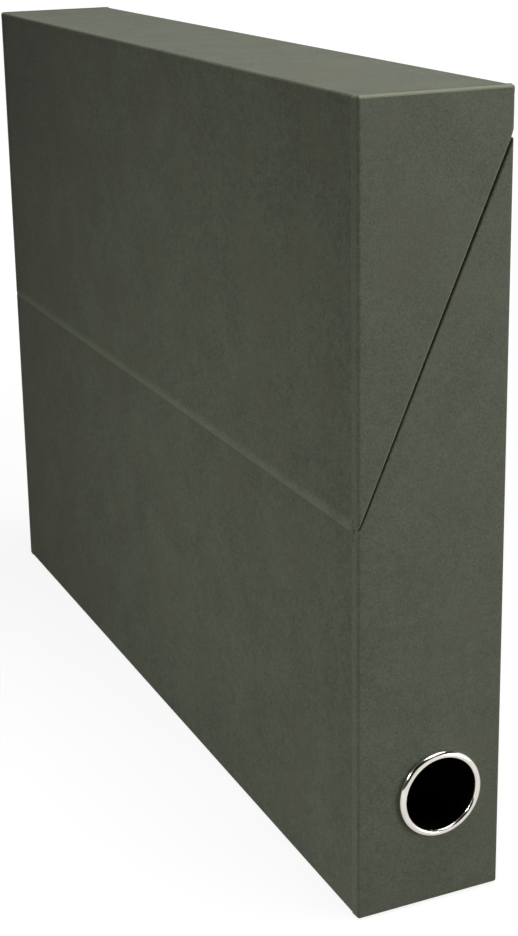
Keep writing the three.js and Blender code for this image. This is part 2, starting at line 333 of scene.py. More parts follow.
@made_once
def olive_paper(name):
    """Matt olive paper with a fine pebbled grain, faint clouds of colour and painted highlights on its folded
    edges and crease.
    """
    base = bpy.context.scene.box_colours.olive
    lightening = bpy.context.scene.box_covering.rubbed_edge
    finish = Finish(name)
    place = finish.place()
    speckle = finish.noise(place, 0.62 * MM, 2.0, 0.6)
    pebbles = finish.cells(place, 1.1 * MM)
    patches = finish.noise(place, 3.2 * MM, 3.0, 0.55)
    clouds = finish.noise(place, 17.0 * MM, 2.0, 0.5)
    warmth = finish.noise(place, 30.0 * MM, 2.0, 0.5)
    tone = 0.62 * speckle + 0.14 * pebbles + 0.3 * patches + 0.2 * clouds - 0.13
    dark = shade(base, 0.56)
    light = shade(base, 1.44)
    plain = finish.mix(tone.between(0.25, 0.75), dark, light)
    warm = tint(base, (1.05, 0.985, 0.97))
    aged = finish.mix(0.45 * warmth.between(0.45, 0.7), plain, warm)
    # Painted highlight: the colour is mixed lighter where the mesh's highlight attribute marks folded edges, the
    # lid's cut edge, a band beside the ends and the crease.
    rubbed = finish.level("ShaderNodeAttribute", {"attribute_name": "rubbed"}, None, "Fac")
    colour_out = finish.mix(rubbed * (0.7 + 0.6 * speckle), aged, shade(base, 1.0 + 1.6 * lightening))
    relief = 0.55 * speckle + 0.7 * pebbles + 0.5 * patches
    normal = finish.bump(relief, 0.08 * MM, 0.6)
    rough = 0.56 + 0.16 * patches + 0.1 * pebbles
    return finish.dress(
        Base_Color=colour_out, Roughness=rough, Normal=normal, Specular_IOR_Level=0.42,
    )


@made_once
def black_paper(name):
    """Near-black lining paper with a fine fibrous grain."""
    base = bpy.context.scene.box_colours.black
    finish = Finish(name)
    fibres = finish.noise(finish.place((1.0, 0.35, 1.0)), 0.35 * MM, 4.0, 0.65)
    clouds = finish.noise(finish.place(), 9.0 * MM, 2.0)
    tone = (0.7 * fibres + 0.3 * clouds).between(0.3, 0.7)
    colour_out = finish.mix(tone, shade(base, 0.75), shade(base, 1.7))
    normal = finish.bump(fibres, 0.04 * MM, 0.6)
    return finish.dress(
        Base_Color=colour_out, Roughness=0.6 + 0.2 * fibres, Normal=normal, Specular_IOR_Level=0.3,
    )


@made_once
def grey_board(name):
    """Pressed grey board with fibres and flecks, layered across its thickness."""
    base = bpy.context.scene.box_colours.board
    finish = Finish(name)
    place = finish.place()
    fibres = finish.noise(place, 0.3 * MM, 5.0, 0.7)
    flecks = finish.cells(place, 1.9 * MM, 0.1).between(0.06, 0.2)
    clouds = finish.noise(place, 12.0 * MM, 2.0)
    tone = (0.7 * fibres + 0.3 * clouds).between(0.3, 0.7)
    plain = finish.mix(tone, shade(base, 0.82), shade(base, 1.16))
    colour_out = finish.mix(flecks, shade(base, 0.6), plain)
    normal = finish.bump(fibres, 0.08 * MM, 0.7)
    return finish.dress(
        Base_Color=colour_out, Roughness=0.8 + 0.15 * fibres, Normal=normal, Specular_IOR_Level=0.25,
    )


@made_once
def plated_nickel(name):
    """Bright plated metal with faint turning marks and handling smears."""
    base = bpy.context.scene.box_colours.nickel
    finish = Finish(name)
    smears = finish.noise(finish.place(), 3.0 * MM, 3.0, 0.6)
    marks = finish.noise(finish.place(), 0.12 * MM, 2.0, 0.7)
    colour_out = finish.mix(smears.between(0.35, 0.75), shade(base, 0.97), shade(base, 1.04))
    normal = finish.bump(0.6 * smears + 0.4 * marks, 0.004 * MM, 0.5)
    rough = 0.07 + 0.07 * smears + 0.05 * marks
    return finish.dress(Base_Color=colour_out, Metallic=1.0, Roughness=rough, Normal=normal)


def smooth_step(value):
    """0 below 0, 1 above 1, smooth between."""
    t = min(1.0, max(0.0, value))
    return t * t * (3.0 - 2.0 * t)


class Layout:
    """The closed box's planes, where its paper stands proud or is cut, and where a highlight is painted on its
    side panels.
    """

    FLAT_CORNER = 0.4 * MM
    SIDE_STEP = 0.7 * MM
    TOP_STEP = 1.2 * MM
    HIGH_START = 2.9 * MM
    HIGH_STEP = 1.3 * MM
    DIP_PLACE = 3.1 * MM
    DIP_WIDTH = 0.5 * MM
    # Painted highlight on the side panels beside the box's ends: its width, softness and strength.
    SIDE_HIGHLIGHT_WIDTH = 3.6 * MM
    SIDE_HIGHLIGHT_STEP = 0.3 * MM
    SIDE_HIGHLIGHT = 0.3

    def __init__(self, sizes):
        self.sizes = sizes
        self.half_depth = COVERED_HIGH.y
        self.half_width = COVERED_HIGH.x
        self.bottom = COVERED_LOW.z
        self.top = LID_HIGH.z
        self.hinge_height = HINGE.z
        self.under_top = self.top - sizes.wall - LINING
        self.lip_edge = self.top - sizes.lip
        self.lid_slope = (self.lip_edge - self.hinge_height) / (2 * self.half_width)
        steepness = math.hypot(1.0, self.lid_slope)
        self.base_start = self.hinge_height - sizes.crease_slit * steepness
        base_end = self.lip_edge - sizes.lip_slit * steepness
        self.base_slope = (base_end - self.base_start) / (2 * self.half_width)

    def lid_cut(self, x):
        """Height of the lid's slanted edge at a place across the spine."""
        return self.hinge_height + self.lid_slope * (x + self.half_width)

    def base_cut(self, x):
        """Height of the base's slanted edge at a place across the spine."""
        return self.base_start + self.base_slope * (x + self.half_width)

    def end_bead(self, y, width, step):
        """Rise of the paper over an end board's edge: a step up, then a slope to the corner."""
        from_end = self.half_depth - abs(y)
        rise = smooth_step((width - from_end) / step)
        fall = (from_end - self.FLAT_CORNER) / (width - step - self.FLAT_CORNER)
        return self.sizes.bead * rise * min(1.0, max(0.0, fall))

    def side_bead(self, y, z):
        """Rise of the side panels over the edges of the end boards and of the top board."""
        from_top = self.top - z
        high = self.sizes.high_bead * smooth_step((self.HIGH_START - from_top) / self.HIGH_STEP)
        groove = ((from_top - self.DIP_PLACE) / self.DIP_WIDTH) ** 2
        dip = self.sizes.high_bead * math.exp(-groove)
        return self.end_bead(y, self.sizes.side_bead_width, self.SIDE_STEP) + high - dip

    def side_highlight(self, y):
        """How strong the painted highlight on the side panels is beside the box's ends."""
        from_end = self.half_depth - abs(y)
        return self.SIDE_HIGHLIGHT * smooth_step((self.SIDE_HIGHLIGHT_WIDTH - from_end) / self.SIDE_HIGHLIGHT_STEP)


class Column:
    """One upright line of the paper: its place on the box's plan and the way it faces.

    A short column lies over the hinge, where the crease's strip takes the paper's place.
    """

    def __init__(self, x, y, facing, short=False):
        self.x = x
        self.y = y
        self.facing = facing
        self.short = short


def even_stops(start, end, step):
    """Stops between two places, about a step apart, without the ends."""
    count = max(1, round(abs(end - start) / step))
    return [start + (end - start) * i / count for i in range(1, count)]


class Plan:
    """The columns of paper around the box, anticlockwise from the crease's front end."""

    CORNER_STEPS = 10
    PANEL_STEP = 8 * MM
    NEAR_END = [offset * MM for offset in (0.3, 0.55, 0.75, 0.95, 1.15, 1.35, 1.6, 2.0, 2.6, 6.0)]

    def __init__(self, layout):
        self.layout = layout
        radius = layout.sizes.corner_radius
        self.arc_x = layout.half_width - radius
        self.arc_y = layout.half_depth - radius
        self.seam = -BOARD_HIGH.y
        self.columns = self.make()

    def panel_stops(self):
        """Stops along a long panel between the ends of the crease, close together near both."""
        near = [self.seam - offset for offset in self.NEAR_END]
        middle = even_stops(-near[-1], near[-1], self.PANEL_STEP)
        return [-stop for stop in near] + middle + near[::-1]

    def corner(self, x_side, y_side, from_angle):
        """Columns of a rounded corner, anticlockwise from the angle that it starts to face."""
        radius = self.layout.sizes.corner_radius
        made = []
        for i in range(self.CORNER_STEPS + 1):
            angle = math.radians(from_angle + 90 * i / self.CORNER_STEPS)
            facing = Vector((math.cos(angle), math.sin(angle)))
            made.append(Column(
                x_side * self.arc_x + radius * facing.x,
                y_side * self.arc_y + radius * facing.y, facing,
            ))
        return made

    def beside_corner(self, x, y_side):
        """Columns of a long panel between the end of the crease and a corner, in that order."""
        facing = Vector((math.copysign(1, x), 0))
        from_end = [2.1 * MM, 1.8 * MM, 1.4 * MM, 1.1 * MM]
        return [Column(x, y_side * (self.layout.half_depth - gap), facing) for gap in from_end]

    def make(self):
        layout = self.layout
        left, right = -layout.half_width, layout.half_width
        rear = layout.half_depth
        near = [0.5 * MM, 1.5 * MM]
        across = [-self.arc_x + gap for gap in near] + even_stops(-self.arc_x, self.arc_x, 4 * MM)
        across = sorted(set(across + [self.arc_x - gap for gap in near]))
        seam_front = Column(left, -self.seam, Vector((-1, 0)))
        seam_rear = Column(left, self.seam, Vector((-1, 0)))
        columns = [seam_front]
        columns += self.beside_corner(left, -1)
        columns += self.corner(-1, -1, 180)
        columns += [Column(x, -rear, Vector((0, -1))) for x in across]
        columns += self.corner(1, -1, 270)
        columns += self.beside_corner(right, -1)[::-1]
        columns += [Column(right, y, Vector((1, 0))) for y in self.crease_stops()]
        columns += self.beside_corner(right, 1)
        columns += self.corner(1, 1, 0)
        columns += [Column(x, rear, Vector((0, 1))) for x in reversed(across)]
        columns += self.corner(-1, 1, 90)
        columns += self.beside_corner(left, 1)[::-1]
        columns += [seam_rear]
        columns += [
            Column(left, y, Vector((-1, 0)), short=True) for y in reversed(self.panel_stops())
        ]
        return columns

    def crease_stops(self):
        """Stops along the hinge crease, from its front end to its rear end."""
        return [-self.seam] + self.panel_stops() + [self.seam]


def set_in(layout, column, inset):
    """The place on the plan inset from a column's, mitred past the corner's radius."""
    depth = min(inset, layout.sizes.corner_radius)
    x_room = layout.half_width - inset
    y_room = layout.half_depth - inset
    x = min(x_room, max(-x_room, column.x - depth * column.facing.x))
    y = min(y_room, max(-y_room, column.y - depth * column.facing.y))
    return x, y


class Row:
    """One point of the paper's section.

    inset is how far in it lies. offset is its height from the datum, which is the cut edge
    ("cut"), the cut edge without the slant's lengthening ("near cut") or the floor ("level",
    and "top" on the top panel). An outer row takes the beads: level_share of them outward,
    and the rest upward. Its last value is how much lighter its folded edge is painted, a
    painted highlight.
    """

    def __init__(self, inset, offset, datum, outer=False, level_share=1.0, rubbed=0.0):
        self.inset = inset
        self.offset = offset
        self.datum = datum
        self.outer = outer
        self.level_share = level_share
        self.rubbed = rubbed


def arc(centre_inset, centre_offset, radius, from_angle, to_angle, steps):
    """Points of an arc in a section, as inset and offset, with angles in degrees."""
    points = []
    for i in range(steps + 1):
        angle = math.radians(from_angle + (to_angle - from_angle) * i / steps)
        points.append((
            centre_inset - radius * math.cos(angle), centre_offset + radius * math.sin(angle),
        ))
    return points


def paper_mesh(name, layout, columns, rows, shorter, cut, slope, level):
    """Sweeps the paper's section around the box. rows is the whole section in order.

    shorter holds the indices of the rows that the columns over the hinge keep.
    cut gives the cut edge's height across the spine, and slope is how steep it is.
    level is the height of the paper's end at the hinge's strip.
    """
    mesh = bmesh.new()
    # Painted highlight, per point: how much lighter the paper is painted there.
    rubbed = mesh.verts.layers.float.new("rubbed")
    grid = []
    for column in columns:
        line = []
        for row in rows:
            x, y = set_in(layout, column, row.inset)
            toward_right = max(0.0, column.facing.x) ** 2
            cut_at = x * (1 - toward_right) + layout.half_width * toward_right
            if row.datum == "cut":
                across = abs(column.facing.y) * (1 - toward_right)
                z = cut(cut_at) + row.offset * math.hypot(1.0, slope * across)
                z = min(z, layout.under_top)
            elif row.datum == "near cut":
                z = level if column.short else cut(cut_at) + row.offset
            else:
                z = row.offset
            if row.outer:
                x += layout.side_bead(y, z) * column.facing.x * row.level_share
            if row.outer and row.datum == "top":
                upward = 1 - row.level_share if row.inset < layout.sizes.corner_radius else 1.0
                z += layout.end_bead(y, layout.sizes.top_bead_width, layout.TOP_STEP) * upward
            vertex = mesh.verts.new((x, y, z))
            # Painted highlight on the front and rear folded edges, and on the side panels a band beside the box's
            # ends.
            vertex[rubbed] = row.rubbed * column.facing.y ** 4
            if row.outer and column.facing.y == 0:
                vertex[rubbed] = layout.side_highlight(y)
            line.append(vertex)
        grid.append(line)
    whole = list(range(len(rows)))
    closes = rows[0].inset == rows[-1].inset and rows[0].datum != "top"
    count = len(columns)
    for i in range(count):
        j = (i + 1) % count
        keep = shorter if columns[i].short or columns[j].short else whole
        pairs = list(zip(keep, keep[1:]))
        if closes:
            pairs.append((keep[-1], keep[0]))
        for a, b in pairs:
            mesh.faces.new((grid[i][a], grid[j][a], grid[j][b], grid[i][b]))
    for i in range(count):
        j = (i + 1) % count
        if columns[i].short == columns[j].short:
            continue
        seam = grid[j] if columns[i].short else grid[i]
        first = next(k for k in whole if k not in shorter) - 1
        last = max(k for k in whole if k not in shorter) + 1
        mesh.faces.new([seam[k] for k in range(first, last + 1)])
    return finished_mesh(name, mesh)


def finished_mesh(name, mesh, sharp_angle=35.0, merge=0.004 * MM):
    """Merges, orients and smooths a built mesh, and makes it an object."""
    bmesh.ops.remove_doubles(mesh, verts=mesh.verts, dist=merge)
    bmesh.ops.recalc_face_normals(mesh, faces=mesh.faces)
    if mesh.calc_volume(signed=True) < 0:
        bmesh.ops.reverse_faces(mesh, faces=mesh.faces)
    limit = math.radians(sharp_angle)
    for face in mesh.faces:
        face.smooth = True
    for edge in mesh.edges:
        edge.smooth = len(edge.link_faces) == 2 and edge.calc_face_angle() < limit
    loose = [edge for edge in mesh.edges if len(edge.link_faces) != 2]
    if loose:
        raise RuntimeError(f"{name} isn't closed: {len(loose)} edges lack a face")
    data = bpy.data.meshes.new(name)
    mesh.to_mesh(data)
    mesh.free()
    return in_scene(name, data)


def in_scene(name, data):
    """Puts a mesh, curve, lamp or camera in the scene as an object."""
    made = bpy.data.objects.new(name, data)
    bpy.context.scene.collection.objects.link(made)
    return made


def give(piece, material):
    """Puts a material on a piece."""
    piece.data.materials.clear()
    piece.data.materials.append(material)
    return piece


def applied(piece):
    """The piece with its modifiers made real, as a plain mesh."""
    bpy.context.view_layer.update()
    graph = bpy.context.evaluated_depsgraph_get()
    data = bpy.data.meshes.new_from_object(piece.evaluated_get(graph))
    data.name = piece.name
    name = piece.name
    bpy.data.objects.remove(piece)
    return in_scene(name, data)


def cut_section(sizes, side):
    """Rows where the paper turns over a cut edge.

    side is -1 for the base, whose paper lies below the cut, and 1 for the lid. The outer rows
    come first, from the wall to the end of the turned paper, then the inner rows back.
    """
    edge = sizes.edge_radius if side < 0 else sizes.lid_edge_radius
    wall = sizes.wall
    paper = sizes.paper
    turned = wall - LINING
    far, near = 0.5 * MM, 0.12 * MM
    outer = [(0.0, edge + far), (0.0, edge + near)]
    outer += [(inset, -offset) for inset, offset in arc(edge, -edge, edge, 0, 90, 6)]
    outer += [(inset, -offset) for inset, offset in arc(wall - edge, -edge, edge, 90, 180, 6)]
    outer += [(wall, edge + near), (wall, edge + far), (wall, sizes.turn_in)]
    over, down_in, ease = paper + 0.02 * MM, paper + 0.2 * MM, 0.1 * MM
    inner = [(turned, sizes.turn_in), (turned, down_in), (turned - ease, over)]
    inner += [(paper + ease, over), (paper, down_in)]
    # Painted highlight along the rounding of the lid's cut edge.
    lid_highlight = LID_EDGE_HIGHLIGHT if side > 0 else 0.0
    outer_rows = []
    for inset, down in outer:
        folded = 0.02 * edge < inset < 0.7 * edge
        outer_rows.append(Row(
            inset, side * down, "cut", outer=inset < edge, rubbed=lid_highlight if folded else 0.0,
        ))
    inner_rows = [Row(inset, side * down, "cut") for inset, down in inner]
    return outer_rows + inner_rows


def base_rows(layout, sizes):
    """The base's section: turned under the bottom, up the wall and over the cut edge."""
    radius = sizes.corner_radius
    paper = sizes.paper
    bottom = layout.bottom
    beside = 0.4 * MM
    kept_below = layout.base_cut(-layout.half_width) - hinge_strip(layout)[0]
    rows = [Row(sizes.underside_turn_in, bottom, "level"), Row(6 * MM, bottom, "level")]
    rows += [Row(radius + beside, bottom, "level")]
    for inset, z in arc(radius, bottom + radius, radius, -90, 0, 8):
        outward = math.cos(math.asin(min(1.0, (bottom + radius - z) / radius)))
        rows.append(Row(inset, z, "level", outer=True, level_share=outward))
    rows.append(Row(0.0, bottom + radius + beside, "level", outer=True))
    rows.append(Row(0.0, -kept_below, "near cut", outer=True))
    first_cut = len(rows)
    rows += cut_section(sizes, -1)
    last_cut = len(rows)
    rows.append(Row(paper, -kept_below, "near cut"))
    rows.append(Row(paper, bottom + radius, "level"))
    inner = arc(radius, bottom + radius, radius - paper, 0, -90, 5)
    rows += [Row(inset, z, "level") for inset, z in inner[1:]]
    rows += [Row(6 * MM, bottom + paper, "level")]
    rows += [Row(sizes.underside_turn_in, bottom + paper, "level")]
    shorter = list(range(first_cut)) + list(range(last_cut, len(rows)))
    return rows, shorter


def lid_rows(layout, sizes):
    """The lid's section: from the middle of the top down the wall, under the cut and back."""
    radius = sizes.corner_radius
    paper = sizes.paper
    top = layout.top
    kept_above = hinge_strip(layout)[1] - layout.lid_cut(-layout.half_width)
    middle = layout.half_width
    flat = [middle / MM, 14.0, 6.0, 4.4, 3.7, 3.3, 3.0, 2.8]
    flat += [2.6, 2.45, 2.3, 2.15, 2.0, 1.8, 1.4, 1.0]
    rows = [Row(inset * MM, top, "top", outer=True, level_share=0.0) for inset in flat]
    for inset, z in arc(radius, top - radius, radius, 90, 0, 10):
        outward = math.cos(math.asin(min(1.0, (z - top + radius) / radius)))
        # Painted highlight on the rounding of the top edge.
        rubbed = 0.0 if outward in (0.0, 1.0) else 1.0
        rows.append(Row(inset, z, "top", outer=True, level_share=outward, rubbed=rubbed))
    side = [1.1, 1.5, 2.1, 2.4, 2.7, 3.0, 3.3, 3.7, 4.4, 6.0]
    rows += [Row(0.0, top - down * MM, "level", outer=True) for down in side]
    rows.append(Row(0.0, kept_above, "near cut", outer=True))
    first_cut = len(rows)
    rows += cut_section(sizes, 1)
    last_cut = len(rows)
    rows.append(Row(paper, kept_above, "near cut"))
    rows.append(Row(paper, top - radius, "level"))
    inner = arc(radius, top - radius, radius - paper, 0, 90, 5)
    rows += [Row(inset, z, "level") for inset, z in inner[1:]]
    rows += [Row(inset, top - paper, "level") for inset in (6 * MM, 14 * MM, middle)]
    shorter = list(range(first_cut)) + list(range(last_cut, len(rows)))
    return rows, shorter


def hinge_strip(layout):
    """Lowest and highest height of the strip of paper that bends at the hinge."""
    reach = max(layout.sizes.crease_above, layout.sizes.crease_below) + 0.3 * MM
    return layout.hinge_height - reach, layout.hinge_height + reach


class BOX_OT_cover_base(bpy.types.Operator):
    """Draw the covering paper over the base"""

    bl_idname = "box.cover_base"
    bl_label = "Cover Base"

    def execute(self, context):
        sizes = context.scene.box_covering
        layout = Layout(sizes)
        rows, shorter = base_rows(layout, sizes)
        low, _ = hinge_strip(layout)
        covering = paper_mesh(
            "base_paper", layout, Plan(layout).columns, rows, shorter,
            layout.base_cut, layout.base_slope, low,
        )
        covering = self.pierced(covering)
        give(covering, olive_paper())
        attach(covering, "base")
        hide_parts("base_covering")
        return {"FINISHED"}

    def pierced(self, covering):
        """Cuts the hole for the finger ring's barrel."""
        centre = (RING_LOW + RING_HIGH) / 2
        place = Matrix.Translation((centre.x, COVERED_LOW.y, centre.z))
        hole = bmesh.new()
        bmesh.ops.create_cone(
            hole, cap_ends=True, segments=96, radius1=WASHER_BORE, radius2=WASHER_BORE,
            depth=12 * MM, matrix=place @ Matrix.Rotation(math.pi / 2, 4, "X"),
        )
        cutter = finished_mesh("ring_hole_cutter", hole)
        cut = covering.modifiers.new("hole", "BOOLEAN")
        cut.operation = "DIFFERENCE"
        cut.solver = "FAST"
        cut.object = cutter
        covering = applied(covering)
        bpy.data.objects.remove(cutter)
        return tidied(covering)


class BOX_OT_cover_lid(bpy.types.Operator):
    """Draw the covering paper over the lid"""

    bl_idname = "box.cover_lid"
    bl_label = "Cover Lid"

    def execute(self, context):
        sizes = context.scene.box_covering
        layout = Layout(sizes)
        rows, shorter = lid_rows(layout, sizes)
        _, high = hinge_strip(layout)
        covering = paper_mesh(
            "lid_paper", layout, Plan(layout).columns, rows, shorter,
            layout.lid_cut, layout.lid_slope, high,
        )
        give(covering, olive_paper())
        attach(covering, "lid")
        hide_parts("lid_covering")
        return {"FINISHED"}


def node_group(name, inputs):
    """A geometry node tree that takes a shape and the named inputs, and gives a shape back."""
    tree = bpy.data.node_groups.new(name, "GeometryNodeTree")
    tree.interface.new_socket("Geometry", in_out="INPUT", socket_type="NodeSocketGeometry")
    sockets = {}
    for label, kind in inputs.items():
        sockets[label] = tree.interface.new_socket(label, in_out="INPUT", socket_type=kind)
    tree.interface.new_socket("Geometry", in_out="OUTPUT", socket_type="NodeSocketGeometry")
    return tree, sockets


class Workshop(Nodes):
    """A geometry node tree with what it is given and what it gives back."""

    def __init__(self, tree):
        super().__init__(tree)
        self.given = tree.nodes.new("NodeGroupInput").outputs
        self.result = tree.nodes.new("NodeGroupOutput").inputs[0]

    def end(self, shape):
        """Realizes what was made and sets its material."""
        real = self.node("GeometryNodeRealizeInstances", None, {"Geometry": shape})
        dressed = self.node(
            "GeometryNodeSetMaterial", None,
            {"Geometry": real.outputs[0], "Material": self.given["Material"]},
        )
        self.tree.links.new(dressed.outputs[0], self.result)


def through_tree(piece, tree, sockets, values):
    """Runs a piece through a geometry node tree and keeps the result as a plain mesh."""
    modifier = piece.modifiers.new(tree.name, "NODES")
    modifier.node_group = tree
    for label, value in values.items():
        modifier[sockets[label].identifier] = value
    return applied(piece)


def turning_tree():
    """Turns a section of distance and depth about the finger ring's axis."""
    inputs = {
        "Path Radius": "NodeSocketFloat", "Steps": "NodeSocketInt", "Centre": "NodeSocketVector",
        "Material": "NodeSocketMaterial",
    }
    tree, sockets = node_group("turned_about_ring_axis", inputs)
    shop = Workshop(tree)
    path = shop.node(
        "GeometryNodeCurvePrimitiveCircle", None,
        {"Radius": shop.given["Path Radius"], "Resolution": shop.given["Steps"]},
    )
    swept = shop.node(
        "GeometryNodeCurveToMesh", None,
        {"Curve": path.outputs[0], "Profile Curve": shop.given["Geometry"]},
    )
    placed = shop.node(
        "GeometryNodeTransform", None,
        {
            "Geometry": swept.outputs[0], "Translation": shop.given["Centre"],
            "Rotation": (math.pi / 2, 0.0, 0.0),
        },
    )
    smooth = shop.node("GeometryNodeSetShadeSmooth", None, {"Geometry": placed.outputs[0]})
    shop.end(smooth.outputs[0])
    return tree, sockets


def section_curve(name, points, path_radius):
    """A closed section, given as distance from the axis and depth, as a curve object."""
    curve = bpy.data.curves.new(name, "CURVE")
    curve.dimensions = "3D"
    spline = curve.splines.new("POLY")
    spline.points.add(len(points) - 1)
    for point, (distance, depth) in zip(spline.points, points):
        point.co = (distance - path_radius, depth, 0.0, 1.0)
    spline.use_cyclic_u = True
    return in_scene(name, curve)


def oval(centre, depth, width, height, from_angle, to_angle, steps):
    """Points on a quarter or more of an oval: distance from the axis, and depth."""
    points = []
    for i in range(steps + 1):
        angle = math.radians(from_angle + (to_angle - from_angle) * i / steps)
        points.append((centre + width * math.cos(angle), depth + height * math.sin(angle)))
    return points


class BOX_OT_set_finger_ring(bpy.types.Operator):
    """Press the metal finger ring and its washer into the spine"""

    bl_idname = "box.set_finger_ring"
    bl_label = "Set Finger Ring"

    def execute(self, context):
        sizes = context.scene.box_ring
        tree, sockets = turning_tree()
        centre = (RING_LOW + RING_HIGH) / 2
        centre.y = COVERED_LOW.y
        outer = (RING_HIGH.x - RING_LOW.x) / 2
        hole = outer - sizes.flange
        sections = {
            "finger_ring_metal": ("finger_ring", self.ring_section(sizes, outer, hole)),
            "ring_washer_metal": ("ring_washer", self.washer_section()),
        }
        for name, (node, section) in sections.items():
            piece = section_curve(name, section, hole)
            values = {
                "Path Radius": hole, "Steps": sizes.steps, "Centre": centre,
                "Material": plated_nickel(),
            }
            piece = through_tree(piece, tree, sockets, values)
            piece = tidied(piece)
            give(piece, plated_nickel())
            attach(piece, "base")
            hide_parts(node)
        return {"FINISHED"}

    def ring_section(self, sizes, outer, hole):
        """A domed flange, a barrel through the wall and a rim rolled over the washer."""
        metal = sizes.metal
        near_hole = sizes.crest * sizes.flange
        away = sizes.flange - near_hole
        crest = hole + near_hole
        edge = 0.35 * MM
        rise = sizes.dome - edge
        inside = WASHER_HIGH.y - COVERED_LOW.y
        roll = metal + sizes.bend
        barrel = hole + metal
        face = oval(crest, -edge, away, rise, 0, -90, 16)
        face += oval(crest, -edge, near_hole, rise, -90, -180, 14)[1:]
        face += oval(hole + roll, inside - sizes.bend, roll, roll, 180, 90, 8)
        rim_end = barrel + sizes.rim
        face += [(rim_end, inside + metal), (rim_end, inside + 0.06 * MM)]
        back = [(rim_end - 0.1 * MM, inside), (barrel + 0.1 * MM, inside)]
        back += [(barrel, inside - 0.2 * MM)]
        back += oval(crest, -edge, near_hole - metal, rise - metal, -180, -90, 8)
        back += oval(crest, -edge, away - metal, rise - metal, -90, 0, 12)[1:]
        back += [(outer - metal, -0.02 * MM), (outer - 0.35 * metal, 0.0), (outer, -0.1 * MM)]
        return face + back

    def washer_section(self):
        """A flat washer with eased edges."""
        near = WASHER_LOW.y - COVERED_LOW.y
        far = WASHER_HIGH.y - COVERED_LOW.y
        rim = (WASHER_HIGH.x - WASHER_LOW.x) / 2
        ease = 0.12 * MM
        return [
            (WASHER_BORE, near + ease), (WASHER_BORE, far - ease), (WASHER_BORE + ease, far),
            (rim - ease, far), (rim, far - ease), (rim, near + ease), (rim - ease, near),
            (WASHER_BORE + ease, near),
        ]


def tidied(piece, sharp_angle=40.0):
    """The same piece with its doubles merged, its faces outward and its sharp edges marked."""
    mesh = bmesh.new()
    mesh.from_mesh(piece.data)
    name = piece.name
    bpy.data.objects.remove(piece)
    return finished_mesh(name, mesh, sharp_angle, merge=0.0005 * MM)


def crease_tree():
    """Presses a flat strip of paper into a ridge along the hinge, stores a painted highlight along the ridge and
    gives it its thickness.
    """
    inputs = {
        "Hinge Height": "NodeSocketFloat", "Ridge Height": "NodeSocketFloat",
        "Slope Above": "NodeSocketFloat", "Slope Below": "NodeSocketFloat",
        "Length": "NodeSocketFloat", "Run Out": "NodeSocketFloat", "Paper": "NodeSocketFloat",
        "Rubbed": "NodeSocketFloat", "Material": "NodeSocketMaterial",
    }
    tree, sockets = node_group("pressed_crease", inputs)
    shop = Workshop(tree)
    given = shop.given
    maths = shop.math
    place = shop.node("GeometryNodeInputPosition").outputs[0]
    parts = shop.node("ShaderNodeSeparateXYZ", None, {"Vector": place}).outputs
    above = maths("SUBTRACT", parts["Z"], given["Hinge Height"])
    below = maths("MULTIPLY", maths("DIVIDE", above, given["Slope Below"]), -1.0)
    across = maths("MAXIMUM", maths("DIVIDE", above, given["Slope Above"]), below)
    inside = maths("MINIMUM", across, 1.0)
    wave = maths("MULTIPLY_ADD", maths("COSINE", maths("MULTIPLY", inside, math.pi)), 0.5, 0.5)
    half = maths("MULTIPLY", given["Length"], 0.5)
    from_end = maths("SUBTRACT", half, maths("ABSOLUTE", parts["Y"]))
    ends = shop.fading(from_end, (0.0, given["Run Out"]), (0.0, 1.0))
    ridge = maths("MULTIPLY", wave, ends)
    rise = maths("MULTIPLY", maths("MULTIPLY", ridge, given["Ridge Height"]), -1.0)
    outward = shop.node("ShaderNodeCombineXYZ", None, {"X": rise}).outputs[0]
    pressed = shop.node(
        "GeometryNodeSetPosition", None, {"Geometry": given["Geometry"], "Offset": outward},
    )
    # Painted highlight along the crease's ridge, for the paper's material to paint lighter.
    ridge_highlight = maths("MULTIPLY", ridge, given["Rubbed"])
    rubbed = shop.node(
        "GeometryNodeStoreNamedAttribute", {"data_type": "FLOAT", "domain": "POINT"},
        {"Geometry": pressed.outputs[0], "Name": "rubbed", "Value": ridge_highlight},
    )
    inward = shop.node("ShaderNodeCombineXYZ", None, {"X": given["Paper"]}).outputs[0]
    thick = shop.node(
        "GeometryNodeExtrudeMesh", None,
        {"Mesh": rubbed.outputs[0], "Offset": inward, "Offset Scale": 1.0, "Individual": False},
    )
    front = shop.node("GeometryNodeFlipFaces", None, {"Mesh": rubbed.outputs[0]})
    joined = shop.node("GeometryNodeJoinGeometry")
    tree.links.new(thick.outputs[0], joined.inputs[0])
    tree.links.new(front.outputs[0], joined.inputs[0])
    welded = shop.node(
        "GeometryNodeMergeByDistance", None, {"Geometry": joined.outputs[0], "Distance": 1e-6},
    )
    shop.end(welded.outputs[0])
    return tree, sockets


